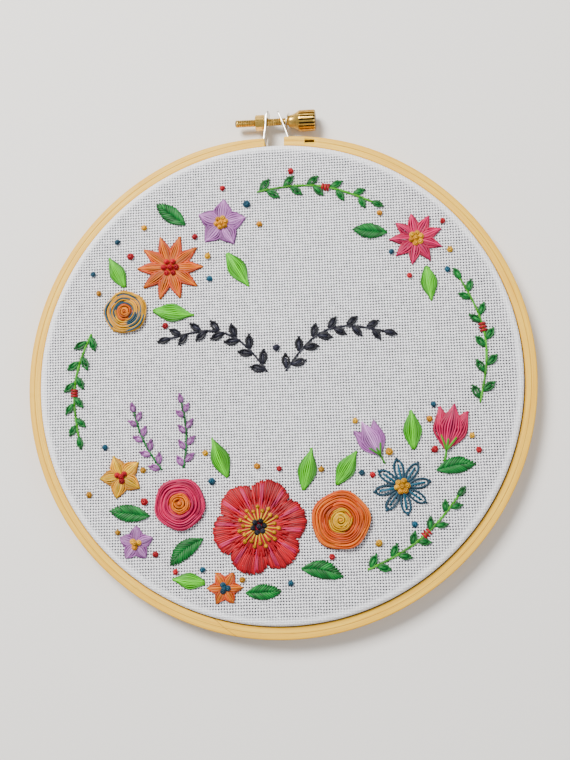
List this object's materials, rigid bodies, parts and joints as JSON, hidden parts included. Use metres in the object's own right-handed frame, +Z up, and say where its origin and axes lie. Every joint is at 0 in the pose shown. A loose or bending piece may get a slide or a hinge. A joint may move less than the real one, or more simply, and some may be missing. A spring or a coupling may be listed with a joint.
{
  "type": "hoop embroidery art with its wooden embroidery hoop",
  "caption": "White cloth stitched with flowers and leaves, stretched in a round wooden hoop that a brass thumbscrew closes.",
  "frame": {"origin": "bottom centre of the whole object's box, on the surface the hoop lies on", "axes": "+Z up out of the cloth's face, +Y from the hoop's centre to the thumbscrew, +X along the screw to its grip"},
  "size_m": [0.1634, 0.1729, 0.0133],
  "materials": {
    "wood": "pale smooth bamboo or beech, satin, grain round the ring",
    "cloth": "white evenweave, matt, about 28 threads to the inch",
    "brass": "turned and knurled, lightly worn",
    "steel": "plated strip, lightly worn",
    "thread_red": "stranded cotton, soft sheen",
    "thread_orange": "stranded cotton, soft sheen",
    "thread_mustard": "stranded cotton, soft sheen",
    "thread_pink": "stranded cotton, soft sheen",
    "thread_lavender": "stranded cotton, soft sheen",
    "thread_emerald": "stranded cotton, soft sheen",
    "thread_lime": "stranded cotton, soft sheen",
    "thread_teal": "stranded cotton, soft sheen",
    "thread_navy": "stranded cotton, soft sheen"
  },
  "bodies": {
    "hoop": {"outer_hoop": "wood", "inner_hoop": "wood", "cloth": "cloth", "nut": "brass", "washer": "steel", "ear_left": "steel", "ear_right": "steel", "rose_orange": "thread_orange", "rose_pink": "thread_pink", "rose_mustard": "thread_mustard", "poppy_red": "thread_red", "daisy_teal": "thread_teal", "daisy_orange": "thread_orange", "bellflower_lavender": "thread_lavender", "star_mustard": "thread_mustard", "leaf_emerald_1": "thread_emerald", "leaf_emerald_2": "thread_emerald", "leaf_emerald_3": "thread_emerald", "leaf_emerald_4": "thread_emerald", "leaf_emerald_5": "thread_emerald", "leaf_lime_1": "thread_lime", "leaf_lime_2": "thread_lime", "leaf_lime_3": "thread_lime", "leaf_lime_4": "thread_lime", "leaf_lime_5": "thread_lime", "leaf_lime_6": "thread_lime", "tulip_pink": "thread_pink", "tulip_lavender": "thread_lavender", "sprig_right": "thread_emerald", "sprig_low": "thread_emerald", "sprig_top": "thread_emerald", "sprig_left": "thread_emerald", "stalk_lavender_1": "thread_lavender", "stalk_lavender_2": "thread_lavender", "sprig_navy_left": "thread_navy", "sprig_navy_right": "thread_navy", "knot_mustard_1": "thread_mustard", "knot_mustard_2": "thread_mustard", "knot_mustard_3": "thread_mustard", "knot_red_1": "thread_red", "knot_red_2": "thread_red", "knot_red_3": "thread_red", "knot_teal_1": "thread_teal", "knot_teal_2": "thread_teal", "knot_navy": "thread_navy", "daisy_pink": "thread_pink", "star_orange": "thread_orange", "star_lavender": "thread_lavender", "leaf_lime_7": "thread_lime", "leaf_lime_8": "thread_lime", "leaf_lime_9": "thread_lime", "leaf_emerald_6": "thread_emerald", "leaf_emerald_7": "thread_emerald"},
    "screw": {"thumbscrew": "brass"}
  },
  "joints": [
    {"name": "screw_turn", "type": "hinge", "parent": "hoop", "child": "screw", "pos_m": [0, 0.083, 0.004], "axis": [1, 0, 0], "continuous": true}
  ]
}
